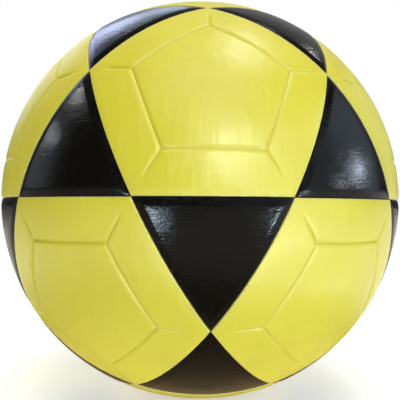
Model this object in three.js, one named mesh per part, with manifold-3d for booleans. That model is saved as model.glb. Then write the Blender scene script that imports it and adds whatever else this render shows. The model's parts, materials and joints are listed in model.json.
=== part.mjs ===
// Futsal ball, size 4, laminated: twelve yellow pentagons and twenty black triangles are bonded
// over a rubber skin, a thread winding and a butyl bladder, and the valve has a replaceable core.
// Millimetres. The origin is the centre of the ball, +Z is up through the valve, and -Y is the front.
import * as THREE from "three";
import { mergeVertices, toCreasedNormals } from "three/addons/utils/BufferGeometryUtils.js";
import Module from "manifold-3d";

const wasm = await Module();
wasm.setup();

// The ball and its layers, from the outside in.
const circumference = 630; // the rules allow a size 4 ball 620 to 640
const coverThickness = 2.6; // synthetic leather with its foam backing
const skinThickness = 1.4; // vulcanised rubber over the winding
const windingThickness = 1.0; // nylon thread
const bladderThickness = 1.4; // butyl
const bondGap = 0.3; // glue line between two layers

// The cover panels. Distances along a panel follow its surface.
const seamGap = 0.3; // between two panels at a seam
const edgeRollWidth = 3.8; // a panel's edge rolls down to the seam over this width
const pentagonRollDepth = 0.4;
const triangleRollDepth = 0.62;
const grooveWidth = 3.6; // the lines pressed into a pentagon, from shoulder to shoulder
const grooveFloor = 0.8;
const grooveDepth = 0.75;
const pressedCornerReach = 34.4; // from a panel's centre to a corner of its pressed pentagon
const spokeToCorner = 8.3; // from the end of a pressed spoke to the panel's corner
const spokeRamp = 3.0; // the spoke's end rises over this length
const contactRadius = 4.7; // flattened under the ball by its own weight, at 0.6 bar

// The valve, from the outside in.
const valveRecess = 0.6; // top of the valve below the crown of its panel
const valveNeckRadius = 4.6; // the part of the housing that shows
const valveBootRadius = 5.4; // the sleeve inside the bladder
const valveBootTipRadius = 4.2;
const valveFlangeRadius = 14;
const valveFlangeThickness = 1.6;
const valveSleeveBelowCore = 1.5; // the sleeve reaches past the end of the core
const coreHeadRadius = 3.1;
const coreHeadThickness = 1.6;
const coreStemRadius = 2.4;
const coreTipRadius = 1.7;
const coreTipLength = 2.5;
const coreLength = 20;
const coreFit = 0.25; // round the core, and under its head
const needleHoleRadius = 0.7;
const needleHoleDepth = 15; // the rest is a slit that closes by itself
const needleFunnelRadius = 1.5;
const needleFunnelDepth = 1.2;

// Facets.
const seamSteps = 4; // straight steps along one seam
const edgeRollKnee = 0.4; // a facet line along the rolled edge, as a share of its width
const sphereDetail = 5;
const turnedSides = 16;
const creaseAngle = 0.15; // edges sharper than this are drawn sharp

// Radii that follow from the layers.
const ballRadius = circumference / (2 * Math.PI);
const coverInside = ballRadius - coverThickness;
const skinOutside = coverInside - bondGap;
const skinInside = skinOutside - skinThickness;
const windingOutside = skinInside - bondGap;
const windingInside = windingOutside - windingThickness;
const bladderOutside = windingInside - bondGap;
const bladderInside = bladderOutside - bladderThickness;
const flangeOutside = bladderInside - bondGap;
const neckHoleRadius = valveNeckRadius + bondGap;

const yellowCover = new THREE.MeshStandardMaterial({ color: 0xe2d94c, roughness: 0.42, metalness: 0 });
const blackCover = new THREE.MeshStandardMaterial({ color: 0x14151a, roughness: 0.36, metalness: 0 });
const skinRubber = new THREE.MeshStandardMaterial({ color: 0x2b2a29, roughness: 0.8, metalness: 0 });
const nylonThread = new THREE.MeshStandardMaterial({ color: 0xe9e6dc, roughness: 0.65, metalness: 0 });
const butyl = new THREE.MeshStandardMaterial({ color: 0x1d1d1e, roughness: 0.6, metalness: 0 });
const valveRubber = new THREE.MeshStandardMaterial({ color: 0x191919, roughness: 0.55, metalness: 0 });
const coreRubber = new THREE.MeshStandardMaterial({ color: 0x262524, roughness: 0.5, metalness: 0 });

// A closed geometry as a solid that can be joined and cut.
function solid(geometry) {
  const bare = geometry.clone();
  bare.deleteAttribute("normal");
  bare.deleteAttribute("uv");
  const merged = mergeVertices(bare);
  const mesh = new wasm.Mesh({
    numProp: 3,
    vertProperties: merged.attributes.position.array,
    triVerts: new Uint32Array(merged.index.array),
  });
  return new wasm.Manifold(mesh);
}

// A solid back as a geometry to draw.
function drawn(cutSolid) {
  const mesh = cutSolid.getMesh();
  const geometry = new THREE.BufferGeometry();
  geometry.setAttribute("position", new THREE.BufferAttribute(mesh.vertProperties, mesh.numProp));
  geometry.setIndex(new THREE.BufferAttribute(mesh.triVerts, 1));
  return toCreasedNormals(geometry, creaseAngle);
}

// A profile of [radius, height] points turned about +Z.
function turned(profile) {
  const points = profile.map(([radius, height]) => new THREE.Vector2(radius, height));
  return new THREE.LatheGeometry(points, turnedSides).rotateX(Math.PI / 2);
}

// A post of this radius that stands on the centre of the ball and passes right through its top.
function topPost(radius) {
  const height = 2 * ballRadius;
  const post = new THREE.CylinderGeometry(radius, radius, height, turnedSides);
  return solid(post.rotateX(Math.PI / 2).translate(0, 0, height / 2));
}

// A round core whose facets fall along the seams: its first corners point to the pentagons' centres.
const goldenRatio = (1 + Math.sqrt(5)) / 2;
function roundCore(radius) {
  const core = new THREE.IcosahedronGeometry(radius, sphereDetail);
  return core.rotateZ(Math.atan(1 / goldenRatio)).rotateX(Math.PI / 2).rotateZ(Math.PI / 2);
}

// A layer of the ball, with a hole at the top for the valve.
function layer(outside, inside, holeRadius) {
  const shell = solid(roundCore(outside)).subtract(solid(roundCore(inside)));
  return drawn(shell.subtract(topPost(holeRadius)));
}

// The outline of a panel with this many sides, each a tenth of a great circle, and how deep its edge rolls.
const seamAngle = (2 * Math.PI) / 10;
function panelOutline(sides, rollDepth) {
  const cornerAngle = Math.asin(Math.sin(seamAngle / 2) / Math.sin(Math.PI / sides));
  const middleAngle = Math.atan(Math.tan(cornerAngle) * Math.cos(Math.PI / sides));
  return { sides, cornerAngle, middleAngle, rollDepth };
}
const pentagon = panelOutline(5, pentagonRollDepth);
const triangle = panelOutline(3, triangleRollDepth);

// Panels are made round +Z, with one corner towards +Y. A ring is the outline drawn in to a scale of
// itself, so its sides stay on great circles. Steps are shares of a side, and drop is taken off the radius.
const evenSteps = (count) => Array.from({ length: count }, (unused, i) => i / count);
function ring(outline, scale, steps, drop = () => 0) {
  const across = scale * Math.sin(outline.cornerAngle);
  const corner = (i) => {
    const turn = Math.PI / 2 + (2 * Math.PI * i) / outline.sides;
    return new THREE.Vector3(across * Math.cos(turn), across * Math.sin(turn), Math.cos(outline.cornerAngle));
  };
  const points = [];
  for (let side = 0; side < outline.sides; side++) {
    for (const share of steps) {
      const at = corner(side).lerp(corner(side + 1), share).setLength(ballRadius - drop(share));
      points.push({ at, turn: (side + share) / outline.sides });
    }
  }
  return points;
}

// The scale of the ring that lies this far inside the seam, and of the one whose corners reach this far.
const insetScale = (outline, inset) =>
  Math.tan(outline.middleAngle - inset / ballRadius) / Math.tan(outline.middleAngle);
const cornerScale = (outline, reach) => Math.tan(reach / ballRadius) / Math.tan(outline.cornerAngle);

// The rings of a panel's rolled edge, from the crown out to the seam.
function edgeRoll(outline) {
  const insets = [edgeRollWidth, edgeRollKnee * edgeRollWidth, seamGap / 2];
  return insets.map((inset) => {
    const drop = outline.rollDepth * (1 - inset / edgeRollWidth) ** 2;
    return ring(outline, insetScale(outline, inset), evenSteps(seamSteps), () => drop);
  });
}

// The middle of a panel: a point, with a flat round it where the ball rests or the valve comes out.
function crown(outline, flatRadius) {
  const height = Math.sqrt(ballRadius ** 2 - flatRadius ** 2);
  const point = [{ at: new THREE.Vector3(0, 0, height), turn: 0 }];
  const flatReach = ballRadius * Math.asin(flatRadius / ballRadius);
  return flatRadius > 0 ? [point, ring(outline, cornerScale(outline, flatReach), evenSteps(1))] : [point];
}

// The rings of a pentagon: its crown, the pressed pentagon, the five pressed spokes and the edge.
function pentagonRings(flatRadius) {
  const pressed = cornerScale(pentagon, pressedCornerReach);
  const pressedMiddle = Math.atan(pressed * Math.tan(pentagon.middleAngle));
  const besidePressed = (offset) =>
    Math.tan(pressedMiddle + offset / ballRadius) / Math.tan(pentagon.middleAngle);
  const shoulderInside = besidePressed(-grooveWidth / 2);
  const shoulderOutside = besidePressed(grooveWidth / 2);
  const cornerReach = pentagon.cornerAngle * ballRadius;
  const spokeRise = cornerScale(pentagon, cornerReach - spokeToCorner - spokeRamp);
  const spokeEnd = cornerScale(pentagon, cornerReach - spokeToCorner);

  const spokeRing = (scale, depth) => {
    const polarAngle = Math.atan(scale * Math.tan(pentagon.cornerAngle));
    const sideReach = scale * Math.tan(pentagon.cornerAngle) * Math.sin((2 * Math.PI) / pentagon.sides);
    const share = (width) => width / (2 * ballRadius * Math.cos(polarAngle) * sideReach);
    const [floor, shoulder] = [share(grooveFloor), share(grooveWidth)];
    const steps = [floor, shoulder, ...evenSteps(seamSteps).slice(1), 1 - shoulder, 1 - floor];
    return ring(pentagon, scale, steps, (t) => (Math.min(t, 1 - t) < (floor + shoulder) / 2 ? depth : 0));
  };
  return [
    ...crown(pentagon, flatRadius),
    ring(pentagon, shoulderInside / 2, evenSteps(seamSteps / 2)),
    ring(pentagon, shoulderInside, evenSteps(seamSteps)),
    ring(pentagon, besidePressed(-grooveFloor / 2), evenSteps(seamSteps), () => grooveDepth),
    ring(pentagon, besidePressed(grooveFloor / 2), evenSteps(seamSteps), () => grooveDepth),
    spokeRing(shoulderOutside, grooveDepth),
    spokeRing(spokeRise, grooveDepth),
    spokeRing(spokeEnd, 0),
    ...edgeRoll(pentagon),
  ];
}

// The rings of a triangle, which is plain between its crown and its edge.
function triangleRings() {
  return [
    ...crown(triangle, 0),
    ring(triangle, insetScale(triangle, edgeRollWidth) / 2, evenSteps(seamSteps / 2)),
    ...edgeRoll(triangle),
  ];
}

// Skins the space between two rings, which may differ in how many points they have. It goes once round
// both, on the ring that is behind, or across the shorter way where they are level.
const levelTurns = 1e-9;
function stitch(inner, outer) {
  const sides = (loop) => (loop.length > 1 ? loop.length : 0);
  const at = (loop, k) => loop[k % loop.length];
  const endTurn = (loop, k) => (k < sides(loop) ? (loop[k + 1]?.turn ?? 1) : Infinity);
  const reach = (a, b) => at(inner, a).at.distanceTo(at(outer, b).at);
  const faces = [];
  let [a, b] = [0, 0];
  while (a < sides(inner) || b < sides(outer)) {
    const lead = endTurn(outer, b) - endTurn(inner, a);
    const level = Math.abs(lead) < levelTurns;
    const stepInner = level ? reach(a + 1, b) < reach(a, b + 1) : lead > 0;
    const third = stepInner ? at(inner, a + 1) : at(outer, b + 1);
    faces.push(at(inner, a).at, at(outer, b).at, third.at);
    a += stepInner ? 1 : 0;
    b += stepInner ? 0 : 1;
  }
  return faces;
}

// A closed body through the rings, which starts and ends on a single point.
function loft(rings) {
  const faces = rings.slice(1).flatMap((outer, i) => stitch(rings[i], outer));
  return mergeVertices(new THREE.BufferGeometry().setFromPoints(faces));
}

// The rows of panels from the top to the bottom of the ball. Polar is the angle from +Z to a panel's
// centre, azimuth turns its row's first panel from the front, and a panel has one corner up or down.
const row = (name, outline, polar, azimuth, corner, count) =>
  ({ name, outline, polar, azimuth, corner, count });
const capAngle = pentagon.middleAngle + triangle.middleAngle;
const equator = Math.PI / 2;
const halfStep = Math.PI / 5;
const rows = [
  row("valve_panel", pentagon, 0, 0, "down", 1),
  row("crown_triangle", triangle, capAngle, halfStep, "down", 5),
  row("upper_pentagon", pentagon, equator - pentagon.middleAngle, 0, "up", 5),
  row("upper_triangle", triangle, equator - triangle.middleAngle, halfStep, "up", 5),
  row("lower_triangle", triangle, equator + triangle.middleAngle, 0, "down", 5),
  row("lower_pentagon", pentagon, equator + pentagon.middleAngle, halfStep, "down", 5),
  row("base_triangle", triangle, Math.PI - capAngle, 0, "up", 5),
  row("base_panel", pentagon, Math.PI, 0, "down", 1),
];
const rowNamed = (name) => rows.find((row) => row.name === name);

// Turns a panel from +Z to its place in its row, before the row's own turn.
const panelTurn = (row) => new THREE.Euler(row.polar, 0, row.corner === "down" ? Math.PI : 0);

// A panel of this row: a wedge from the centre of the ball out to the rings, with the round core taken out.
function panel(row, rings) {
  const centre = [{ at: new THREE.Vector3(), turn: 0 }];
  const wedge = solid(loft([...rings, centre]));
  const turnBack = new THREE.Matrix4().makeRotationFromEuler(panelTurn(row)).invert();
  const turnRow = new THREE.Matrix4().makeRotationZ(-row.azimuth);
  const core = roundCore(coverInside).applyMatrix4(turnRow).applyMatrix4(turnBack);
  return wedge.subtract(solid(core));
}

// The four shapes of panel.
const wholeValvePanel = panel(rowNamed("valve_panel"), pentagonRings(valveNeckRadius));
const panelShapes = {
  pentagon: drawn(panel(rowNamed("upper_pentagon"), pentagonRings(0))),
  triangle: drawn(panel(rowNamed("upper_triangle"), triangleRings())),
  valve: drawn(wholeValvePanel.subtract(topPost(neckHoleRadius))),
  base: drawn(panel(rowNamed("base_panel"), pentagonRings(contactRadius))),
};
function panelShape(row) {
  if (row.name === "valve_panel") return panelShapes.valve;
  if (row.name === "base_panel") return panelShapes.base;
  return row.outline === pentagon ? panelShapes.pentagon : panelShapes.triangle;
}

// The rubber valve core: a headed plug with a blind hole for the pump needle.
const valveTop = ballRadius - valveRecess;
function valveCore() {
  const end = valveTop - coreLength;
  const needleEnd = valveTop - needleHoleDepth;
  const headSeat = valveTop - coreHeadThickness;
  return turned([
    [0, end],
    [coreTipRadius, end],
    [coreStemRadius, end + coreTipLength],
    [coreStemRadius, headSeat],
    [coreHeadRadius, headSeat],
    [coreHeadRadius, valveTop],
    [needleFunnelRadius, valveTop],
    [needleHoleRadius, valveTop - needleFunnelDepth],
    [needleHoleRadius, needleEnd + needleHoleRadius],
    [0, needleEnd],
  ]);
}

// The valve housing: a neck through the layers, a sleeve for the core, and a flange bonded under the bladder.
function valveHousing() {
  const end = valveTop - coreLength - valveSleeveBelowCore;
  const neckEnd = flangeOutside - valveFlangeThickness / 2;
  const headSeat = valveTop - coreHeadThickness - coreFit;
  const stemBore = coreStemRadius + coreFit;
  const headBore = coreHeadRadius + coreFit;
  const neckMiddle = (valveNeckRadius + headBore) / 2;
  const sleeve = turned([
    [stemBore, end],
    [valveBootTipRadius, end],
    [valveBootRadius, neckEnd],
    [valveNeckRadius, neckEnd],
    [valveNeckRadius, valveTop],
    [headBore, valveTop],
    [headBore, headSeat],
    [stemBore, headSeat],
    [stemBore, end],
  ]);
  const flangeInside = solid(roundCore(flangeOutside - valveFlangeThickness));
  const dome = solid(roundCore(flangeOutside)).subtract(flangeInside);
  const flange = dome.intersect(topPost(valveFlangeRadius)).subtract(topPost(neckMiddle));
  return drawn(flange.add(solid(sleeve)));
}

function part(name, geometry, material) {
  const mesh = new THREE.Mesh(geometry, material);
  mesh.name = name;
  return mesh;
}

const ball = new THREE.Group();

const inside = new THREE.Group();
inside.add(part("rubber_skin", layer(skinOutside, skinInside, neckHoleRadius), skinRubber));
inside.add(part("thread_winding", layer(windingOutside, windingInside, neckHoleRadius), nylonThread));
inside.add(part("bladder", layer(bladderOutside, bladderInside, neckHoleRadius), butyl));
inside.add(part("valve_housing", valveHousing(), valveRubber));
inside.add(part("valve_core", valveCore(), coreRubber));
ball.add(inside);

for (const row of rows) {
  const material = row.outline === pentagon ? yellowCover : blackCover;
  for (let i = 0; i < row.count; i++) {
    const name = row.count > 1 ? `${row.name}_${i + 1}` : row.name;
    const cover = part(name, panelShape(row), material);
    cover.rotation.copy(panelTurn(row));
    const place = new THREE.Group();
    place.rotation.z = row.azimuth + (2 * Math.PI * i) / row.count;
    place.add(cover);
    ball.add(place);
  }
}

export default ball;
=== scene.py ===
import json
import math
import bpy
import numpy as np
from mathutils import Matrix, Vector

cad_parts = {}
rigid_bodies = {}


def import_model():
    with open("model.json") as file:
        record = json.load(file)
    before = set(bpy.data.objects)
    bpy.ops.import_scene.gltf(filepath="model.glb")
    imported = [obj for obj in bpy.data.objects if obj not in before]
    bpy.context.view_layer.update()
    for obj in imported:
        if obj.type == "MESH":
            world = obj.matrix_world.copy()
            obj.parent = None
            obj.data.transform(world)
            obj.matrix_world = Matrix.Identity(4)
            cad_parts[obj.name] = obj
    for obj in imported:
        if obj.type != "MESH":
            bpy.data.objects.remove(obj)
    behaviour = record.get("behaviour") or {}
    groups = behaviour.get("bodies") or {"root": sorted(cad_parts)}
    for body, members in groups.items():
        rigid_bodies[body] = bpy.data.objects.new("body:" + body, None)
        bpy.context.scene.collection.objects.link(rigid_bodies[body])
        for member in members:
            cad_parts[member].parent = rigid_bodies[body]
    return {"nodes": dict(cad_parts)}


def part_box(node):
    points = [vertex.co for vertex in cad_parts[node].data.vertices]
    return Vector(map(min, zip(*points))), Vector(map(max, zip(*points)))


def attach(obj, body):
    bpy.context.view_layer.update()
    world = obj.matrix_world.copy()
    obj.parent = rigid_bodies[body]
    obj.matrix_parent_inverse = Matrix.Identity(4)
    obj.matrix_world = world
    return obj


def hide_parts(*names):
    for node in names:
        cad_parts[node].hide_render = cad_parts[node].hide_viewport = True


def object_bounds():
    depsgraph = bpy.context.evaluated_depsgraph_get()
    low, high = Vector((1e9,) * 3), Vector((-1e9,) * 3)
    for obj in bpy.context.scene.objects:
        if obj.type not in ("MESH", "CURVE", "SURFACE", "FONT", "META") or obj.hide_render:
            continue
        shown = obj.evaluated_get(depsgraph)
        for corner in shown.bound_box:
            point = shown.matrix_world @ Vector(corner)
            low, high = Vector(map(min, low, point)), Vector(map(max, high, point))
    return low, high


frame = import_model()
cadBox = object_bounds()
nodes = frame["nodes"]
mm = 0.001
floorGap = 0.05 * mm      # keeps the floor just clear of the ball
ballRadius = max(vertex.co.length for vertex in nodes["upper_pentagon_1"].data.vertices)
floorHeight = cadBox[0].z - floorGap
print("frame: ball radius", round(ballRadius / mm, 2), "mm, floor at", round(floorHeight / mm, 2), "mm")


# camera, at the photograph's place
viewpoint = {
    "distance": 3.2017,            # from the ball's centre, in ball radii
    "turn": math.radians(3.035),   # the ball as it stands before the camera: about its upright axis,
    "lean": math.radians(0.359),   # sideways,
    "tip": math.radians(-0.737),   # and back or forth
    "focalPixels": 604.66,
    "photoPixels": 400,
    "sensorWidth": 36,
    "clipStart": 0.01,
}


def placeCamera(spec):
    data = bpy.data.cameras.new("photoCamera")
    data.sensor_width = spec["sensorWidth"]
    data.lens = spec["focalPixels"] / spec["photoPixels"] * data.sensor_width
    data.clip_start = spec["clipStart"]
    camera = bpy.data.objects.new("photoCamera", data)
    stance = (Matrix.Rotation(spec["tip"], 4, "X") @ Matrix.Rotation(spec["lean"], 4, "Y")
              @ Matrix.Rotation(spec["turn"], 4, "Z"))
    stepBack = Matrix.Translation((0, -spec["distance"] * ballRadius, 0))
    lookAhead = stepBack @ Matrix.Rotation(math.pi / 2, 4, "X")
    camera.matrix_world = stance.inverted() @ lookAhead
    bpy.context.scene.collection.objects.link(camera)
    bpy.context.scene.camera = camera


placeCamera(viewpoint)
print("camera: lens", round(bpy.context.scene.camera.data.lens, 1), "mm")


# node helpers
def addNode(tree, kind, **settings):
    made = tree.nodes.new(kind)
    for key, value in settings.items():
        setattr(made, key, value)
    return made


def setInputs(made, **values):
    for key, value in values.items():
        made.inputs[key].default_value = value
    return made


def fillSocket(tree, socket, value):
    if isinstance(value, bpy.types.NodeSocket):
        tree.links.new(value, socket)
    else:
        socket.default_value = value


def mathNode(tree, operation, first, second):
    made = addNode(tree, "ShaderNodeMath", operation=operation)
    fillSocket(tree, made.inputs[0], first)
    fillSocket(tree, made.inputs[1], second)
    return made.outputs[0]


def rangeNode(tree, value, low, high, outLow=0.0, outHigh=1.0):
    made = addNode(tree, "ShaderNodeMapRange", interpolation_type="SMOOTHSTEP")
    for key, number in (("From Min", low), ("From Max", high), ("To Min", outLow), ("To Max", outHigh)):
        made.inputs[key].default_value = number
    tree.links.new(value, made.inputs["Value"])
    return made.outputs["Result"]


def mixColour(tree, share, first, second):
    made = addNode(tree, "ShaderNodeMix", data_type="RGBA")
    firstSocket, secondSocket = [socket for socket in made.inputs if socket.type == "RGBA"]
    fillSocket(tree, made.inputs["Factor"], share)
    fillSocket(tree, firstSocket, first)
    fillSocket(tree, secondSocket, second)
    return next(socket for socket in made.outputs if socket.type == "RGBA")


# lays a colour over another where the mask is, by a share of it
def layColour(tree, colour, mask, share, over):
    return mixColour(tree, mathNode(tree, "MULTIPLY", mask, share), colour, over)


def startGroup(name, inputs, outputs):
    tree = bpy.data.node_groups.new(name, "ShaderNodeTree")
    for label, value in inputs.items():
        socket = tree.interface.new_socket(label, in_out="INPUT", socket_type="NodeSocketFloat")
        socket.default_value = value
    for label in outputs:
        tree.interface.new_socket(label, in_out="OUTPUT", socket_type="NodeSocketFloat")
    return tree, tree.nodes.new("NodeGroupInput"), tree.nodes.new("NodeGroupOutput")


def placeGroup(tree, group, **values):
    made = addNode(tree, "ShaderNodeGroup", node_tree=group)
    for key, value in values.items():
        fillSocket(tree, made.inputs[key], value)
    return made


# leather grain: cells with soft valleys between them, and fine pores
grainShape = {
    "wanderScale": 0.45, "wanderDetail": 2.0, "wanderPull": 1.4,   # bends the cells
    "valley": 0.28,                                                # how far a valley reaches into a cell
    "poreScale": 3.2, "poreDetail": 3.0, "poreRoughness": 0.6, "poreShare": 0.35,
}


def makeGrainGroup(spec):
    tree, start, end = startGroup("leatherGrain", {"Cell": 1.0}, ["Height", "Valley"])
    place = addNode(tree, "ShaderNodeTexCoord").outputs["Object"]
    perMetre = mathNode(tree, "DIVIDE", 1 / mm, start.outputs["Cell"])
    scaled = addNode(tree, "ShaderNodeVectorMath", operation="SCALE")
    tree.links.new(place, scaled.inputs[0])
    tree.links.new(perMetre, scaled.inputs["Scale"])
    wander = setInputs(addNode(tree, "ShaderNodeTexNoise"), Scale=spec["wanderScale"],
                       Detail=spec["wanderDetail"])
    tree.links.new(scaled.outputs[0], wander.inputs["Vector"])
    pull = setInputs(addNode(tree, "ShaderNodeVectorMath", operation="SCALE"), Scale=spec["wanderPull"])
    tree.links.new(wander.outputs["Color"], pull.inputs[0])
    bent = addNode(tree, "ShaderNodeVectorMath", operation="ADD")
    tree.links.new(scaled.outputs[0], bent.inputs[0])
    tree.links.new(pull.outputs[0], bent.inputs[1])
    cells = setInputs(addNode(tree, "ShaderNodeTexVoronoi", feature="DISTANCE_TO_EDGE"), Scale=1.0)
    tree.links.new(bent.outputs[0], cells.inputs["Vector"])
    dome = rangeNode(tree, cells.outputs["Distance"], 0.0, spec["valley"])
    pores = setInputs(addNode(tree, "ShaderNodeTexNoise"), Scale=spec["poreScale"], Detail=spec["poreDetail"],
                      Roughness=spec["poreRoughness"])
    tree.links.new(scaled.outputs[0], pores.inputs["Vector"])
    fine = mathNode(tree, "MULTIPLY", pores.outputs["Fac"], spec["poreShare"])
    broad = mathNode(tree, "MULTIPLY", dome, 1 - spec["poreShare"])
    tree.links.new(mathNode(tree, "ADD", broad, fine), end.inputs["Height"])
    tree.links.new(mathNode(tree, "SUBTRACT", 1.0, dome), end.inputs["Valley"])
    return tree


# slow change over the surface, for colour, gloss and the small dents of a soft cover
mottleShape = {
    "streakTurn": (0.5, 0.3, 0.8), "streakPull": (1.0, 9.0, 1.0), "streakDetail": 2.0,
    "streakRange": (0.64, 0.76),
    "wavePull": (9.0, 9.0, 1.0),        # drawn out along the ball's axis
    "wrinklePull": (1.4, 1.4, 6.0),     # and round it
    "foldDetail": 1.0,
}


def makeMottleGroup(spec):
    tree, start, end = startGroup("softMottle", {"Size": 30.0, "Detail": 3.0},
                                  ["Value", "Streak", "Wave", "Wrinkle"])
    place = addNode(tree, "ShaderNodeTexCoord").outputs["Object"]
    perMetre = mathNode(tree, "DIVIDE", 1 / mm, start.outputs["Size"])
    cloud = addNode(tree, "ShaderNodeTexNoise")
    tree.links.new(place, cloud.inputs["Vector"])
    tree.links.new(perMetre, cloud.inputs["Scale"])
    tree.links.new(start.outputs["Detail"], cloud.inputs["Detail"])
    tree.links.new(cloud.outputs["Fac"], end.inputs["Value"])

    def drawnNoise(detail, **mapping):
        drawn = setInputs(addNode(tree, "ShaderNodeMapping"), **mapping)
        tree.links.new(place, drawn.inputs["Vector"])
        noise = setInputs(addNode(tree, "ShaderNodeTexNoise"), Detail=detail)
        tree.links.new(drawn.outputs[0], noise.inputs["Vector"])
        tree.links.new(perMetre, noise.inputs["Scale"])
        return noise.outputs["Fac"]

    streaks = drawnNoise(spec["streakDetail"], Rotation=spec["streakTurn"], Scale=spec["streakPull"])
    tree.links.new(rangeNode(tree, streaks, *spec["streakRange"]), end.inputs["Streak"])
    tree.links.new(drawnNoise(spec["foldDetail"], Scale=spec["wavePull"]), end.inputs["Wave"])
    tree.links.new(drawnNoise(spec["foldDetail"], Scale=spec["wrinklePull"]), end.inputs["Wrinkle"])
    return tree


# dirt and painted shade in the pressed lines and seams, and rubbing on the raised edges
wearAndShadeMarks = {
    "patchScale": 90.0, "patchDetail": 4.0, "patchRange": (0.3, 0.7, 0.45, 1.0),
    "speckScale": 700.0, "speckDetail": 2.0, "speckRange": (0.45, 0.65),
    "seamPower": 6.0,                   # keeps the dirt and painted shade of an edge close to its seam
}


def makeWearAndShadeGroup(spec):
    tree, start, end = startGroup("wearAndPaintedShade", {"Groove": 0.0, "Edge": 0.0}, ["Dirt", "Rub"])
    place = addNode(tree, "ShaderNodeTexCoord").outputs["Object"]
    patches = setInputs(addNode(tree, "ShaderNodeTexNoise"), Scale=spec["patchScale"],
                        Detail=spec["patchDetail"])
    specks = setInputs(addNode(tree, "ShaderNodeTexNoise"), Scale=spec["speckScale"],
                       Detail=spec["speckDetail"])
    for texture in (patches, specks):
        tree.links.new(place, texture.inputs["Vector"])
    nearSeam = mathNode(tree, "POWER", start.outputs["Edge"], spec["seamPower"])
    deep = mathNode(tree, "MAXIMUM", start.outputs["Groove"], nearSeam)
    uneven = rangeNode(tree, patches.outputs["Fac"], *spec["patchRange"])
    # painted shade: this mask darkens the creases of the pressed lines and the seams where shade falls, with
    # patchy dirt over it
    tree.links.new(mathNode(tree, "MULTIPLY", deep, uneven), end.inputs["Dirt"])
    speckled = rangeNode(tree, specks.outputs["Fac"], *spec["speckRange"])
    worn = mathNode(tree, "MULTIPLY", start.outputs["Edge"], speckled)
    tree.links.new(mathNode(tree, "MULTIPLY", worn, uneven), end.inputs["Rub"])
    return tree


grainGroup = makeGrainGroup(grainShape)
mottleGroup = makeMottleGroup(mottleShape)
wearAndShadeGroup = makeWearAndShadeGroup(wearAndShadeMarks)


# materials
def startMaterial(name, rough=None, shine=None):
    material = bpy.data.materials.new(name)
    material.use_nodes = True
    tree = material.node_tree
    shader = tree.nodes["Principled BSDF"]
    if rough is not None:
        shader.inputs["Roughness"].default_value = rough
    if shine is not None:
        shader.inputs["Specular IOR Level"].default_value = shine
    return material, tree, shader


def addBump(tree, shader, layers):
    before = None
    for height, depth in layers:
        bump = setInputs(addNode(tree, "ShaderNodeBump"), Strength=1.0, Distance=depth)
        tree.links.new(height, bump.inputs["Height"])
        if before:
            tree.links.new(before, bump.inputs["Normal"])
        before = bump.outputs["Normal"]
    tree.links.new(before, shader.inputs["Normal"])


def surfaceValue(tree, name):
    return addNode(tree, "ShaderNodeAttribute", attribute_name=name).outputs["Fac"]


roughCloud = (0.3, 0.7)     # the span of a noise that roughness follows

yellowLeather = {
    "colour": (0.79, 0.708, 0.044, 1),
    "shade": (0.74, 0.654, 0.035, 1), "shadeRange": (0.35, 0.75, 0.0, 0.6),    # slow change of colour
    "dirtAndShade": (0.36, 0.29, 0.035, 1), "dirtAndShadeShare": 0.36, "dirtAndShadePower": 2.0,       # dirt and painted shade, darkest in the creases of the pressed lines
    "rubbed": (0.90, 0.86, 0.30, 1), "rubShare": 0.35,                         # along the edges
    "lip": (0.86, 0.82, 0.34, 1), "lipShare": 0.5, "lipRange": (0.84, 0.94),   # paler in a thin band at the very edge
    "scuffSize": 9.0, "scuffShare": 0.16, "scuffRough": 0.06,
    "waveSize": 34.0, "waveDepth": 0.20 * mm,
    "dentSize": 26.0, "dentDetail": 2.0, "dentDepth": 0.30 * mm,
    "cell": 0.8, "cellDepth": 0.008 * mm,
    "shine": 0.90, "roughSize": 7.0, "roughDetail": 4.0, "rough": (0.30, 0.38), "grooveRough": 0.12,
}


def makeYellowLeather(spec):
    material, tree, shader = startMaterial("yellowLeather", shine=spec["shine"])
    groove, edge = surfaceValue(tree, "groove"), surfaceValue(tree, "edge")
    crease = mathNode(tree, "POWER", groove, spec["dirtAndShadePower"])
    wearAndShadeMasks = placeGroup(tree, wearAndShadeGroup, Groove=crease, Edge=edge)
    slow = placeGroup(tree, mottleGroup, Size=spec["dentSize"], Detail=spec["dentDetail"])
    fine = placeGroup(tree, mottleGroup, Size=spec["roughSize"], Detail=spec["roughDetail"])
    pulled = placeGroup(tree, mottleGroup, Size=spec["waveSize"])
    scuff = placeGroup(tree, mottleGroup, Size=spec["scuffSize"]).outputs["Streak"]
    grain = placeGroup(tree, grainGroup, Cell=spec["cell"])
    shaded = rangeNode(tree, slow.outputs["Value"], *spec["shadeRange"])
    colour = mixColour(tree, shaded, spec["colour"], spec["shade"])
    # dirt and painted shade: the colour is darker in the creases of the pressed lines and along the seams
    colour = layColour(tree, colour, wearAndShadeMasks.outputs["Dirt"], spec["dirtAndShadeShare"], spec["dirtAndShade"])
    colour = layColour(tree, colour, wearAndShadeMasks.outputs["Rub"], spec["rubShare"], spec["rubbed"])
    colour = layColour(tree, colour, rangeNode(tree, edge, *spec["lipRange"]), spec["lipShare"], spec["lip"])
    colour = layColour(tree, colour, scuff, spec["scuffShare"], spec["rubbed"])
    tree.links.new(colour, shader.inputs["Base Color"])
    rough = rangeNode(tree, fine.outputs["Value"], *roughCloud, *spec["rough"])
    worn = mathNode(tree, "ADD", mathNode(tree, "MULTIPLY", groove, spec["grooveRough"]),
                    mathNode(tree, "MULTIPLY", scuff, spec["scuffRough"]))
    tree.links.new(mathNode(tree, "ADD", rough, worn), shader.inputs["Roughness"])
    addBump(tree, shader, [(slow.outputs["Value"], spec["dentDepth"]),
                           (pulled.outputs["Wave"], spec["waveDepth"]),
                           (grain.outputs["Height"], spec["cellDepth"])])
    return material


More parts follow.
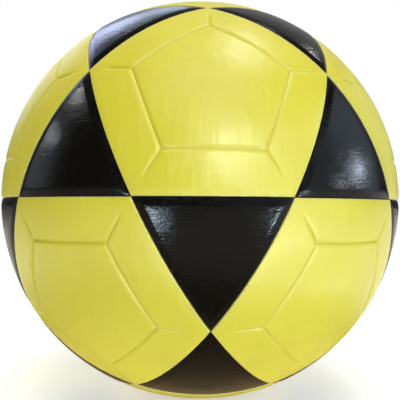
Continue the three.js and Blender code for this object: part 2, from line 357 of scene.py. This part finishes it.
blackLeather = {
    "colour": (0.0036, 0.0032, 0.0022, 1),
    "shade": (0.0050, 0.0045, 0.0034, 1), "shadeRange": (0.35, 0.75),
    "dust": (0.020, 0.019, 0.017, 1), "dustShare": 0.12,               # in the valleys of the grain
    "rubbed": (0.030, 0.030, 0.032, 1), "rubShare": 0.5,
    "wrinkleSize": 6.5, "wrinkleDepth": 0.10 * mm,
    "dentSize": 22.0, "dentDetail": 2.0, "dentDepth": 0.30 * mm,
    "cell": 0.85, "cellDepth": 0.017 * mm,
    "shine": 0.09, "roughSize": 6.0, "roughDetail": 4.0, "rough": (0.11, 0.15), "valleyRough": 0.08,
}


def makeBlackLeather(spec):
    material, tree, shader = startMaterial("blackLeather", shine=spec["shine"])
    wearAndShadeMasks = placeGroup(tree, wearAndShadeGroup, Edge=surfaceValue(tree, "edge"))
    slow = placeGroup(tree, mottleGroup, Size=spec["dentSize"], Detail=spec["dentDetail"])
    fine = placeGroup(tree, mottleGroup, Size=spec["roughSize"], Detail=spec["roughDetail"])
    creased = placeGroup(tree, mottleGroup, Size=spec["wrinkleSize"])
    grain = placeGroup(tree, grainGroup, Cell=spec["cell"])
    valley = grain.outputs["Valley"]
    shaded = rangeNode(tree, slow.outputs["Value"], *spec["shadeRange"])
    colour = mixColour(tree, shaded, spec["colour"], spec["shade"])
    dusty = mathNode(tree, "MULTIPLY", valley, fine.outputs["Value"])
    colour = layColour(tree, colour, dusty, spec["dustShare"], spec["dust"])
    colour = layColour(tree, colour, wearAndShadeMasks.outputs["Rub"], spec["rubShare"], spec["rubbed"])
    tree.links.new(colour, shader.inputs["Base Color"])
    rough = rangeNode(tree, fine.outputs["Value"], *roughCloud, *spec["rough"])
    valleyRough = mathNode(tree, "MULTIPLY", valley, spec["valleyRough"])
    tree.links.new(mathNode(tree, "ADD", rough, valleyRough), shader.inputs["Roughness"])
    addBump(tree, shader, [(slow.outputs["Value"], spec["dentDepth"]),
                           (creased.outputs["Wrinkle"], spec["wrinkleDepth"]),
                           (grain.outputs["Height"], spec["cellDepth"])])
    return material


rubbers = {
    "valveRubber": {"colour": (0.012, 0.012, 0.012, 1), "bloom": (0.05, 0.05, 0.048, 1),
                    "rough": (0.42, 0.6)},
    "coreRubber": {"colour": (0.020, 0.019, 0.018, 1), "bloom": (0.07, 0.068, 0.064, 1),
                   "rough": (0.38, 0.55)},
    "skinRubber": {"colour": (0.022, 0.021, 0.020, 1), "bloom": (0.06, 0.058, 0.054, 1),
                   "rough": (0.65, 0.85)},
    "butylRubber": {"colour": (0.012, 0.012, 0.013, 1), "bloom": (0.04, 0.04, 0.042, 1),
                    "rough": (0.5, 0.65)},
}
rubberFinish = {
    "bloomSize": 4.0, "bloomDetail": 5.0, "bloomRange": (0.45, 0.75),
    "cell": 0.4, "cellDepth": 0.006 * mm,
}


def makeRubber(name, spec, finish):
    material, tree, shader = startMaterial(name)
    mottle = placeGroup(tree, mottleGroup, Size=finish["bloomSize"], Detail=finish["bloomDetail"])
    cloud = mottle.outputs["Value"]
    grain = placeGroup(tree, grainGroup, Cell=finish["cell"])
    bloom = rangeNode(tree, cloud, *finish["bloomRange"])
    tree.links.new(mixColour(tree, bloom, spec["colour"], spec["bloom"]), shader.inputs["Base Color"])
    tree.links.new(rangeNode(tree, cloud, *roughCloud, *spec["rough"]), shader.inputs["Roughness"])
    addBump(tree, shader, [(grain.outputs["Height"], finish["cellDepth"])])
    return material


nylonWinding = {
    "thread": (0.78, 0.75, 0.66, 1), "gap": (0.30, 0.28, 0.24, 1), "rough": 0.6,
    "waveScale": 176.37, "waveBend": 1.5, "threadDepth": 0.2 * mm,
    "layings": [(0.4, 0.2, 0.0), (1.3, 0.9, 0.5), (2.2, 0.3, 1.4)],   # great circles laid over each other
}


def makeWinding(spec):
    material, tree, shader = startMaterial("nylonWinding", rough=spec["rough"])
    place = addNode(tree, "ShaderNodeTexCoord").outputs["Object"]
    heights = []
    for turn in spec["layings"]:
        laid = setInputs(addNode(tree, "ShaderNodeMapping"), Rotation=turn)
        tree.links.new(place, laid.inputs["Vector"])
        wave = setInputs(addNode(tree, "ShaderNodeTexWave"), Scale=spec["waveScale"],
                         Distortion=spec["waveBend"])
        tree.links.new(laid.outputs[0], wave.inputs["Vector"])
        heights.append(wave.outputs["Fac"])
    top = mathNode(tree, "MAXIMUM", mathNode(tree, "MAXIMUM", heights[0], heights[1]), heights[2])
    tree.links.new(mixColour(tree, top, spec["gap"], spec["thread"]), shader.inputs["Base Color"])
    addBump(tree, shader, [(top, spec["threadDepth"])])
    return material


yellowCover = makeYellowLeather(yellowLeather)
blackCover = makeBlackLeather(blackLeather)
rubber = {name: makeRubber(name, spec, rubberFinish) for name, spec in rubbers.items()}
winding = makeWinding(nylonWinding)
print("materials:", len(bpy.data.materials), "with", len(bpy.data.node_groups), "shared groups")


# cover panels: closed soft leather pieces, each a stack of rings round the panel's centre
cover = {
    "seamAngle": math.radians(36),   # a seam is a tenth of a great circle
    "thickness": 2.6 * mm,
    "seamGap": 0.3 * mm,
    "rollWidth": 3.8 * mm,           # the edge rolls down to the seam from a soft crease
    "yellowRoll": 0.28 * mm,
    "blackRoll": 0.62 * mm,
    "crease": 0.30,                  # share of the roll that the crease takes
    "lipRadius": 0.35 * mm,          # rounding of the cut edge
}
pressedLine = {
    "cornerReach": 34.4 * mm,        # centre to a corner of the pressed pentagon
    "spokeToCorner": 8.3 * mm,
    "spokeRamp": 3.5 * mm,
    "spokeStart": (-1.0 * mm, 0.3 * mm),   # where a spoke grows out of the pentagon's line
    "shoulder": 1.7 * mm,            # crease to the level surface
    "depth": 0.58 * mm,
    "pillowReach": 5.0 * mm,         # the foam dips a little beside the line
    "pillowDepth": 0.16 * mm,
}
panelMesh = {
    "firstRing": 0.6 * mm,
    "ringStep": 2.2 * mm,
    "ringGap": 0.04 * mm,            # rings closer than this to the last one are left out
    "startOffsets": np.array([0.1, 0.25, 0.5, 0.9, 1.4]) * mm,
    "lineOffsets": np.linspace(-1, 1, 23) * 1.9 * mm,
    "edgeInsets": np.array([0, 0.05, 0.12, 0.22, 0.36, 0.6, 0.95, 1.4, 2.0, 2.6, 3.0, 3.3, 3.6,
                            4.0, 4.7]) * mm,
    "underRings": 7,
    "triangleColumns": 18,           # along a side
    "spokeOffsets": np.array([0, 0.15, 0.3, 0.5, 0.7, 0.9, 1.1, 1.4, 1.7, 2.1, 2.6, 3.4]) * mm,
    "betweenSpokes": 9,
}
# rings are round up to roundFrom and follow the sides from roundTo on
valveHole = {"fit": 0.3 * mm, "rollWidth": 1.6 * mm, "rollDepth": 0.35 * mm,
             "roundFrom": 5.6 * mm, "roundTo": 14.0 * mm}
sharpAngle = math.radians(50)
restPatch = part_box("base_panel")[0].z      # the flat under the ball
neckRadius = 4.6 * mm                      # the valve's neck


def outlineOf(sides):
    corner = math.asin(math.sin(cover["seamAngle"] / 2) / math.sin(math.pi / sides))
    middle = math.atan(math.tan(corner) * math.cos(math.pi / sides))
    return {"sides": sides, "corner": corner, "middle": middle}


pentagon, triangle = outlineOf(5), outlineOf(3)
lineCornerTan = math.tan(pressedLine["cornerReach"] / ballRadius)
lineMiddleTan = lineCornerTan * math.cos(math.pi / 5)


def smoothStep(low, high, value):
    share = np.clip((value - low) / (high - low), 0, 1)
    return share * share * (3 - 2 * share)


# a pressed line across its width: a sharp crease between soft shoulders
def channel(distance):
    return np.clip(1 - np.abs(distance) / pressedLine["shoulder"], 0, 1) ** 2


# where the rings lie, measured from the centre to the middle of a side along the surface
def ringReaches(outline, start):
    seam = ballRadius * outline["middle"]
    reaches = list(np.arange(start, seam - cover["rollWidth"], panelMesh["ringStep"]))
    reaches += list(start + panelMesh["startOffsets"])
    reaches += list(seam - cover["seamGap"] / 2 - panelMesh["edgeInsets"])
    if outline is pentagon:
        reaches += list(ballRadius * math.atan(lineMiddleTan) + panelMesh["lineOffsets"])
    kept = []
    for reach in sorted(reaches):
        if not kept or reach - kept[-1] > panelMesh["ringGap"]:
            kept.append(reach)
    return np.array(kept)


# where the columns stand along a side; on a pentagon they crowd towards the corners, where the spokes run
def columnShares(outline):
    if outline is triangle:
        return np.arange(panelMesh["triangleColumns"]) / panelMesh["triangleColumns"]
    side = 2 * ballRadius * lineCornerTan * math.sin(math.pi / 5)
    near = panelMesh["spokeOffsets"] / (side * math.cos(math.pi / 5))
    between = np.linspace(near[-1], 1 - near[-1], panelMesh["betweenSpokes"])
    return np.concatenate([near, between[1:], 1 - near[-2:0:-1]])


# unit directions of the points on every ring, with the panel's centre along +Z and a corner towards +Y
def ringDirections(outline, reaches, shares):
    sides = outline["sides"]
    scale = np.tan(reaches / ballRadius) / math.tan(outline["middle"])
    turns = math.pi / 2 + 2 * math.pi * np.arange(sides + 1) / sides
    corners = math.tan(outline["corner"]) * np.stack([np.cos(turns), np.sin(turns)], axis=1)
    share = shares[None, :, None]
    along = corners[:-1, None, :] * (1 - share) + corners[1:, None, :] * share
    flat = scale[:, None, None, None] * along[None]
    if outline is pentagon:
        apothem = scale * math.tan(outline["middle"])
        circle = along / np.linalg.norm(along, axis=-1, keepdims=True)
        straight = smoothStep(valveHole["roundFrom"], valveHole["roundTo"], reaches)[:, None, None, None]
        flat = flat * straight + apothem[:, None, None, None] * circle[None] * (1 - straight)
    points = np.concatenate([flat, np.ones(flat.shape[:-1] + (1,))], axis=-1)
    return points / np.linalg.norm(points, axis=-1, keepdims=True), flat


# how far each point stands from the seam, and how deep it lies in a pressed line and the dip beside it
def panelRelief(outline, directions, flat, shares):
    sides = outline["sides"]
    length = np.sqrt(1 + (flat ** 2).sum(-1))
    middles = math.pi / 2 + 2 * math.pi * (np.arange(sides) + 0.5) / sides
    outward = flat[..., 0] * np.cos(middles)[None, :, None] + flat[..., 1] * np.sin(middles)[None, :, None]

    def lineDistance(apothem):
        return ballRadius * np.arcsin((outward - apothem) / (length * math.sqrt(1 + apothem ** 2)))

    seamDistance = -lineDistance(math.tan(outline["middle"]))
    groove = np.zeros(seamDistance.shape)
    pillow = np.zeros(seamDistance.shape)
    if outline is pentagon:
        ringLine = lineDistance(lineMiddleTan)
        nearCorner = (np.arange(sides)[:, None] + (shares[None, :] > 0.5)) % sides
        turn = (math.pi / 2 + 2 * math.pi * nearCorner / sides)[None]
        x, y, z = directions[..., 0], directions[..., 1], directions[..., 2]
        across = ballRadius * np.arcsin(y * np.cos(turn) - x * np.sin(turn))
        out = ballRadius * np.arctan2(x * np.cos(turn) + y * np.sin(turn), z)
        spokeEnd = ballRadius * outline["corner"] - pressedLine["spokeToCorner"]
        reach = 1 - smoothStep(spokeEnd - pressedLine["spokeRamp"], spokeEnd, out)
        reach = reach * smoothStep(*pressedLine["spokeStart"], ringLine)
        groove = 1 - (1 - channel(ringLine)) * (1 - channel(across) * reach)
        fade = pressedLine["pillowReach"]
        pillow = np.maximum(np.exp(-np.abs(ringLine) / fade), np.exp(-np.abs(across) / fade) * reach)
    return seamDistance, groove, pillow


def panelRadius(outline, seamDistance, groove, pillow):
    inset = np.clip(1 - seamDistance / cover["rollWidth"], 0, 1)
    crease = cover["crease"]
    roll = np.where(inset < crease, inset ** 2 / (2 * crease), inset - crease / 2) / (1 - crease / 2)
    rollDepth = cover["yellowRoll"] if outline is pentagon else cover["blackRoll"]
    lip = np.clip(cover["lipRadius"] - (seamDistance - cover["seamGap"] / 2), 0, cover["lipRadius"])
    lipDrop = cover["lipRadius"] - np.sqrt(cover["lipRadius"] ** 2 - lip ** 2)
    return (ballRadius - rollDepth * roll - lipDrop
            - pressedLine["depth"] * groove - pressedLine["pillowDepth"] * pillow)


# stitches the rings into faces; round a hole the stack closes on itself
def stackFaces(ringCount, width, closed):
    faces = []
    pairs = [(i, i + 1) for i in range(ringCount - 1)]
    if closed:
        pairs.append((ringCount - 1, 0))
    for upper, lower in pairs:
        for k in range(width):
            n = (k + 1) % width
            faces.append((upper * width + k, lower * width + k, lower * width + n, upper * width + n))
    return faces


def makePanel(outline, kind):
    holeReach = ballRadius * math.asin((neckRadius + valveHole["fit"]) / ballRadius)
    start = holeReach if kind == "valve" else panelMesh["firstRing"]
    shares = columnShares(outline)
    reaches = ringReaches(outline, start)
    directions, flat = ringDirections(outline, reaches, shares)
    seamDistance, groove, pillow = panelRelief(outline, directions, flat, shares)
    radius = panelRadius(outline, seamDistance, groove, pillow)
    if kind == "valve":
        fromHole = ballRadius * np.arccos(np.clip(directions[..., 2], -1, 1)) - holeReach
        radius = radius - valveHole["rollDepth"] * np.clip(1 - fromHole / valveHole["rollWidth"], 0, 1) ** 2
    if kind == "base":
        radius = np.minimum(radius, -restPatch / directions[..., 2])
    width = outline["sides"] * len(shares)
    under = np.linspace(reaches[-1], start, panelMesh["underRings"])
    underDirections = ringDirections(outline, under, shares)[0]
    inside = ballRadius - cover["thickness"]
    outerPoints = (directions * radius[..., None]).reshape(-1, 3)
    innerPoints = (underDirections * inside).reshape(-1, 3)
    points = np.concatenate([outerPoints, innerPoints])
    edge = np.clip(1 - seamDistance / cover["rollWidth"], 0, 1).ravel()
    ringCount = len(reaches) + len(under)
    faces = stackFaces(ringCount, width, kind == "valve")
    blank = np.zeros(len(innerPoints))
    values = {"edge": np.concatenate([edge, blank]), "groove": np.concatenate([groove.ravel(), blank])}
    if kind != "valve":                                   # close both middles
        top, bottom = len(points), len(points) + 1
        crown = -restPatch if kind == "base" else ballRadius
        points = np.concatenate([points, [[0, 0, crown], [0, 0, inside]]])
        last = (ringCount - 1) * width
        for k in range(width):
            n = (k + 1) % width
            faces.append((top, k, n))
            faces.append((bottom, last + n, last + k))
        values = {label: np.concatenate([value, [0, 0]]) for label, value in values.items()}
    return points, faces, values


# the rows of panels, from the valve down: name, outline, angle from +Z, turn from the front, corner, count
capAngle = pentagon["middle"] + triangle["middle"]
equator, halfStep = math.pi / 2, math.pi / 5
panelRows = [
    ("valve_panel", pentagon, 0, 0, "down", 1),
    ("crown_triangle", triangle, capAngle, halfStep, "down", 5),
    ("upper_pentagon", pentagon, equator - pentagon["middle"], 0, "up", 5),
    ("upper_triangle", triangle, equator - triangle["middle"], halfStep, "up", 5),
    ("lower_triangle", triangle, equator + triangle["middle"], 0, "down", 5),
    ("lower_pentagon", pentagon, equator + pentagon["middle"], halfStep, "down", 5),
    ("base_triangle", triangle, math.pi - capAngle, 0, "up", 5),
    ("base_panel", pentagon, math.pi, 0, "down", 1),
]


def addPiece(name, points, faces, material, body, replaced, values=None):
    mesh = bpy.data.meshes.new(name)
    mesh.from_pydata([tuple(p) for p in points], [], faces)
    mesh.validate()
    for label, numbers in (values or {}).items():
        mesh.attributes.new(label, "FLOAT", "POINT").data.foreach_set("value", numbers.astype(np.float32))
    mesh.polygons.foreach_set("use_smooth", [True] * len(mesh.polygons))
    mesh.set_sharp_from_angle(angle=sharpAngle)
    mesh.materials.append(material)
    piece = bpy.data.objects.new(name, mesh)
    bpy.context.scene.collection.objects.link(piece)
    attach(piece, body)
    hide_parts(replaced)


def addPanels():
    made = 0
    for rowName, outline, polar, azimuth, corner, count in panelRows:
        points, faces, values = makePanel(outline, rowName.split("_")[0])
        tilt = Matrix.Rotation(polar, 3, "X") @ Matrix.Rotation(math.pi if corner == "down" else 0, 3, "Z")
        yellow = outline is pentagon
        for i in range(count):
            name = f"{rowName}_{i + 1}" if count > 1 else rowName
            spin = Matrix.Rotation(azimuth + 2 * math.pi * i / count, 3, "Z")
            placed = points @ np.array(spin @ tilt).T
            addPiece("cover_" + name, placed, faces, yellowCover if yellow else blackCover, "ball",
                     name, values)
            made += 1
    return made


print("cover:", addPanels(), "panels")


# valve: turned rubber pieces
valve = {
    "segments": 48,
    "flangeRadius": 14.0 * mm, "flangeThickness": 1.6 * mm, "flangeRings": 8,
    "flangeDrop": 2.2 * mm,                               # from the bladder's top to under its wall
    "neck": neckRadius, "boot": 5.4 * mm, "bootTip": 4.2 * mm,
    "headRadius": 3.1 * mm, "headThickness": 1.6 * mm,
    "stem": 2.4 * mm, "tip": 1.7 * mm, "tipLength": 2.5 * mm,
    "fit": 0.25 * mm,
    "needle": 0.7 * mm, "needleDepth": 15.0 * mm, "funnel": 1.5 * mm, "funnelDepth": 1.2 * mm,
    "softEdge": 0.25 * mm, "softShare": 0.45, "softSteps": 3,   # rounding, and the most of a side it takes
}
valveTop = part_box("valve_housing")[1].z
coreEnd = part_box("valve_core")[0].z
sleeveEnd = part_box("valve_housing")[0].z


# rounds the corners of a profile of (radius, height) points with short arcs
def softenProfile(profile, spec, closed):
    soft = []
    count = len(profile)
    for i, here in enumerate(profile):
        if not closed and i in (0, count - 1):
            soft.append(here)
            continue
        before, after = Vector(profile[i - 1]), Vector(profile[(i + 1) % count])
        here = Vector(here)
        most = spec["softShare"]
        cut = min(spec["softEdge"], (before - here).length * most, (after - here).length * most)
        first, last = here + (before - here).normalized() * cut, here + (after - here).normalized() * cut
        for step in range(spec["softSteps"] + 1):
            t = step / spec["softSteps"]
            soft.append(tuple(first * (1 - t) ** 2 + here * 2 * t * (1 - t) + last * t ** 2))
    return soft


def turnProfile(profile, segments, closed):
    points, faces = [], []
    rings = []
    for radius, height in profile:
        if radius == 0:
            rings.append([len(points)])
            points.append((0, 0, height))
            continue
        rings.append(list(range(len(points), len(points) + segments)))
        for k in range(segments):
            turn = 2 * math.pi * k / segments
            points.append((radius * math.cos(turn), radius * math.sin(turn), height))
    for i in range(len(rings) - (0 if closed else 1)):
        a, b = rings[i], rings[(i + 1) % len(rings)]
        for k in range(segments):
            n = (k + 1) % segments
            if len(a) == 1:
                faces.append((a[0], b[n], b[k]))
            elif len(b) == 1:
                faces.append((a[k], a[n], b[0]))
            else:
                faces.append((a[k], a[n], b[n], b[k]))
    return np.array(points), faces


def addValve(spec):
    headSeat = valveTop - spec["headThickness"]
    needleEnd = valveTop - spec["needleDepth"]
    core = [(0, coreEnd), (spec["tip"], coreEnd), (spec["stem"], coreEnd + spec["tipLength"]),
            (spec["stem"], headSeat), (spec["headRadius"], headSeat), (spec["headRadius"], valveTop),
            (spec["funnel"], valveTop), (spec["needle"], valveTop - spec["funnelDepth"]),
            (spec["needle"], needleEnd + spec["needle"]), (0, needleEnd)]
    points, faces = turnProfile(softenProfile(core, spec, False), spec["segments"], False)
    addPiece("valve_core_plug", points, faces, rubber["coreRubber"], "valve_plug",
             "valve_core")

    def domeCurve(domeRadius, start, end):
        radii = np.linspace(start, end, spec["flangeRings"])
        return [(r, math.sqrt(domeRadius ** 2 - r ** 2)) for r in radii]

    stemBore, headBore = spec["stem"] + spec["fit"], spec["headRadius"] + spec["fit"]
    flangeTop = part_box("bladder")[1].z - spec["flangeDrop"]
    under = domeCurve(flangeTop - spec["flangeThickness"], spec["boot"], spec["flangeRadius"])
    over = domeCurve(flangeTop, spec["flangeRadius"], spec["neck"])
    housing = ([(stemBore, sleeveEnd), (spec["bootTip"], sleeveEnd)] + under + over
               + [(spec["neck"], valveTop), (headBore, valveTop), (headBore, headSeat - spec["fit"]),
                  (stemBore, headSeat - spec["fit"])])
    points, faces = turnProfile(softenProfile(housing, spec, True), spec["segments"], True)
    addPiece("valve_boot", points, faces, rubber["valveRubber"], "ball", "valve_housing")


addValve(valve)
print("valve: core and housing")


# the layers inside keep their solids
def dressInside():
    for name, material in (("rubber_skin", rubber["skinRubber"]), ("thread_winding", winding),
                           ("bladder", rubber["butylRubber"])):
        mesh = nodes[name].data
        mesh.materials.clear()
        mesh.materials.append(material)


dressInside()
print("inside: three layers dressed")


# studio: a pale floor, a white surround and soft lamps
# reaches on the floor are metres from the ball's centre
studio = {
    "floorHalf": 4.0,
    "floorColour": (0.82, 0.83, 0.82, 1), "floorRough": 0.9, "floorShine": 0.1,
    "floorGlow": (0.48, 0.92), "fadeReach": (0.2, 1.0),   # beside the ball, and far off
    "nearGleam": (0.30, 0.23, 0.15, 1),                   # the floor as the leather's shine meets it
    "farGleam": (0.84, 0.77, 0.66, 1), "gleamReach": (0.15, 0.30),
    "underGlow": 0.58, "underReach": (0.125, 0.165),      # its glow under the ball
    "farGlow": 0.75, "farReach": (0.19, 0.26),            # and further off
    "farCentre": (-0.06, 0.02, 0),                        # so the far glow starts nearer on the right
    "farRamp": (-0.45, 0.05, 0.2, 1.0),                   # and fades towards the left
    "underTint": (1.0, 0.70, 0.34, 1),                    # it picks up the ball's colour underneath
    "farTint": (1.0, 0.95, 0.88, 1), "tintReach": (0.16, 0.20),
    "behindGlow": 0.4, "behindRange": (0.55, 1.0),        # the surround behind the ball, met by shine
    "behindWay": (0.7, 0.7),                              # back and up
    "ambient": (0.17, 0.17, 0.17, 1),
    "mirrored": (0.06, 0.06, 0.06, 1),                    # the room as the leather's shine meets it
    "ambientStrength": 1.0,
}
white = (1, 1, 1, 1)
# lamps: degrees right of the front, degrees up, metres away, size, watts, colour
softboxes = {
    "frontBox": (34, 16, 1.2, (1.20, 0.95), 2.6, (0.79, 0.92, 1.0)),
    "overheadBox": (82, 74, 1.1, (0.30, 0.20), 1.3, (0.88, 0.93, 1.0)),
    "rightBox": (82, 24, 1.1, (0.38, 0.50), 0.65, (0.62, 0.82, 1.0)),
    "lowRightBox": (54, -13, 0.38, (0.25, 0.024), 0.04, (0.85, 0.94, 1.0)),
}
fillBoxes = {                     # light with no shine of its own
    "lowFill": (12, -24, 0.225, (0.34, 0.01), 0.070, (0.84, 1.0, 0.95)),
    "lowLeftFill": (-112, -16, 0.34, (0.26, 0.03), 0.16, (1.0, 0.99, 0.95)),
    "lowSideFill": (-98, -29, 0.195, (0.22, 0.012), 0.027, (0.92, 1.0, 0.97)),
    "underFill": (4, -56, 0.118, (0.16, 0.008), 0.007, (0.92, 1.0, 0.97)),
    "topFill": (0, 55, 1.2, (0.90, 0.70), 6.6, (1.0, 0.99, 0.97)),
    "crownFill": (0, 78, 1.2, (0.80, 0.60), 3.8, (1.0, 0.99, 0.97)),
    "backLeftFill": (-138, 14, 1.2, (0.80, 0.70), 3.8, (1.0, 0.99, 0.97)),
    "backRightFill": (158, 14, 1.2, (0.80, 0.70), 3.2, (1.0, 0.99, 0.97)),
    "lowBackFill": (180, -20, 0.26, (0.30, 0.02), 0.05, (0.84, 1.0, 0.95)),
}
sheenCards = {                    # shine on the yellow leather with no light of its own
    "keyCard": (12, 22.5, 1.2, (0.36, 0.46), 3.4, (0.76, 0.86, 1.0)),
    "keySurroundCard": (12, 16, 1.2, (0.90, 0.70), 1.5, (0.74, 0.84, 1.0)),
    "overheadCard": (82, 74, 1.1, (0.30, 0.20), 1.3, (0.74, 0.85, 1.0)),
    "frontSheenCard": (46, 12, 1.2, (1.80, 1.10), 4.6, (0.82, 0.89, 1.0)),
    "lowSheenCard": (16, -19, 0.28, (0.28, 0.045), 0.26, (0.76, 0.84, 1.0)),
    "lowRightSheenCard": (44, -31, 0.185, (0.20, 0.012), 0.016, (0.85, 0.92, 1.0)),
    "leftRimCard": (-152, 28, 1.2, (0.60, 0.60), 1.2, (0.95, 0.98, 1.0)),
    "rightBackCard": (124, 12, 1.2, (0.60, 0.80), 0.9, (0.90, 0.96, 1.0)),
}
shineCards = {                    # and on the black leather
    "leftSkyCard": (-145, 40, 1.2, (0.55, 0.40), 2.8, (0.56, 0.63, 1.0)),
    "backSkyCard": (-164, 48, 1.2, (0.50, 0.30), 1.4, (0.62, 0.78, 1.0)),
    "rightSkyGlintCard": (124, 47, 1.0, (0.03, 0.03), 0.25, (1.0, 0.98, 0.95)),
    "lowLeftCard": (-26, -9.5, 0.45, (0.065, 0.04), 1.25, (0.66, 0.82, 1.0)),
    "lowRightCard": (38, -9.5, 0.45, (0.06, 0.04), 1.4, (0.66, 0.82, 1.0)),
    "rightSkyCard": (76, 14, 1.2, (1.40, 1.30), 9.0, (0.68, 0.79, 1.0)),
    "leftHazeCard": (-99, 16, 1.2, (0.44, 0.66), 1.5, (0.78, 0.84, 1.0)),
    "rightGlintCard": (88, 11, 1.0, (0.05, 0.05), 2.0, (0.74, 0.84, 1.0)),
    "rightLowGlintCard": (74, 6, 1.0, (0.03, 0.03), 0.8, (0.80, 0.90, 1.0)),
    "leftTopHazeCard": (-88, 39, 1.2, (0.40, 0.22), 0.7, (0.90, 0.94, 1.0)),
    "leftGlintCard": (-96, 41, 1.0, (0.04, 0.06), 1.0, (1.0, 0.98, 0.95)),
    "leftLowGlintCard": (-96, 23, 1.0, (0.03, 0.03), 0.6, (0.92, 0.96, 1.0)),
}


def addLamp(name, lights, shines, receivers, turn, rise, distance, size, watts, colour):
    data = bpy.data.lights.new(name, "AREA")
    data.shape = "RECTANGLE"
    data.size, data.size_y = size
    data.energy = watts
    data.color = colour
    lamp = bpy.data.objects.new(name, data)
    turn, rise = math.radians(turn), math.radians(rise)
    away = Vector((math.cos(rise) * math.sin(turn), -math.cos(rise) * math.cos(turn), math.sin(rise)))
    lamp.location = away * distance
    lamp.rotation_euler = away.to_track_quat("Z", "Y").to_euler()
    lamp.visible_diffuse = lights
    lamp.visible_glossy = shines
    lamp.light_linking.receiver_collection = receivers
    bpy.context.scene.collection.objects.link(lamp)


# what looks at a surface: the camera, or shine on another surface
def lookedAt(tree):
    path = addNode(tree, "ShaderNodeLightPath")
    seen = mathNode(tree, "MAXIMUM", path.outputs["Is Camera Ray"], path.outputs["Is Transmission Ray"])
    return seen, path.outputs["Is Glossy Ray"]


def addFloor(spec):
    half = spec["floorHalf"]
    corners = [(-half, -half), (half, -half), (half, half), (-half, half)]
    mesh = bpy.data.meshes.new("studioFloor")
    mesh.from_pydata([(x, y, floorHeight) for x, y in corners], [], [(0, 1, 2, 3)])
    material, tree, shader = startMaterial("paleFloor", rough=spec["floorRough"], shine=spec["floorShine"])
    seen, glossy = lookedAt(tree)
    place = addNode(tree, "ShaderNodeTexCoord").outputs["Object"]

    def reachFrom(centre):
        away = addNode(tree, "ShaderNodeVectorMath", operation="DISTANCE")
        tree.links.new(place, away.inputs[0])
        away.inputs[1].default_value = centre
        return away.outputs["Value"]

    reach, farReach = reachFrom((0, 0, 0)), reachFrom(spec["farCentre"])
    gleam = mixColour(tree, rangeNode(tree, reach, *spec["gleamReach"]), spec["nearGleam"], spec["farGleam"])
    tree.links.new(mixColour(tree, glossy, spec["floorColour"], gleam), shader.inputs["Base Color"])
    parts = addNode(tree, "ShaderNodeSeparateXYZ")
    tree.links.new(place, parts.inputs[0])
    rightward = rangeNode(tree, parts.outputs["X"], *spec["farRamp"])
    farther = rangeNode(tree, farReach, *spec["farReach"], 0.0, spec["farGlow"])
    farLit = mathNode(tree, "MULTIPLY", farther, rightward)
    underLit = rangeNode(tree, reach, *spec["underReach"], spec["underGlow"], 0.0)
    toShine = mathNode(tree, "MULTIPLY", glossy, mathNode(tree, "ADD", underLit, farLit))
    whiter = rangeNode(tree, reach, *spec["fadeReach"], *spec["floorGlow"])
    toCamera = mathNode(tree, "MULTIPLY", seen, whiter)
    tree.links.new(mathNode(tree, "MAXIMUM", toCamera, toShine), shader.inputs["Emission Strength"])
    tint = mixColour(tree, rangeNode(tree, reach, *spec["tintReach"]), spec["underTint"], spec["farTint"])
    tree.links.new(mixColour(tree, glossy, white, tint), shader.inputs["Emission Color"])
    mesh.materials.append(material)
    floor = bpy.data.objects.new("studioFloor", mesh)
    bpy.context.scene.collection.objects.link(floor)


# the surround is white to the camera, and paler behind the ball to shine than the rest of the room
def lightWorld(spec):
    world = bpy.data.worlds.new("studio")
    bpy.context.scene.world = world
    world.use_nodes = True
    tree = world.node_tree
    background = tree.nodes["Background"]
    parts = addNode(tree, "ShaderNodeSeparateXYZ")
    tree.links.new(addNode(tree, "ShaderNodeTexCoord").outputs["Generated"], parts.inputs[0])
    back, up = spec["behindWay"]
    raised = mathNode(tree, "ADD", mathNode(tree, "MULTIPLY", parts.outputs["Y"], back),
                      mathNode(tree, "MULTIPLY", parts.outputs["Z"], up))
    behind = rangeNode(tree, raised, *spec["behindRange"], 0.0, spec["behindGlow"])
    seen, glossy = lookedAt(tree)
    share = mathNode(tree, "MAXIMUM", seen, mathNode(tree, "MULTIPLY", glossy, behind))
    room = mixColour(tree, glossy, spec["ambient"], spec["mirrored"])
    tree.links.new(mixColour(tree, share, room, white), background.inputs["Color"])
    background.inputs["Strength"].default_value = spec["ambientStrength"]


def gatherPieces(name, material):
    gathered = bpy.data.collections.new(name)
    for piece in bpy.context.scene.objects:
        if piece.type == "MESH" and piece.active_material == material:
            gathered.objects.link(piece)
    return gathered


blackPieces = gatherPieces("blackPieces", blackCover)
yellowPieces = gatherPieces("yellowPieces", yellowCover)
lampSets = [                      # lamps, light, shine, the pieces they reach
    (softboxes, True, True, None),
    (fillBoxes, True, False, None),
    (sheenCards, False, True, yellowPieces),
    (shineCards, False, True, blackPieces),
]
for lamps, lights, shines, receivers in lampSets:
    for lampName, settings in lamps.items():
        addLamp(lampName, lights, shines, receivers, *settings)
addFloor(studio)
lightWorld(studio)
bpy.context.scene.view_settings.view_transform = "Standard"
print("studio:", len(bpy.data.lights), "lamps, floor and surround")
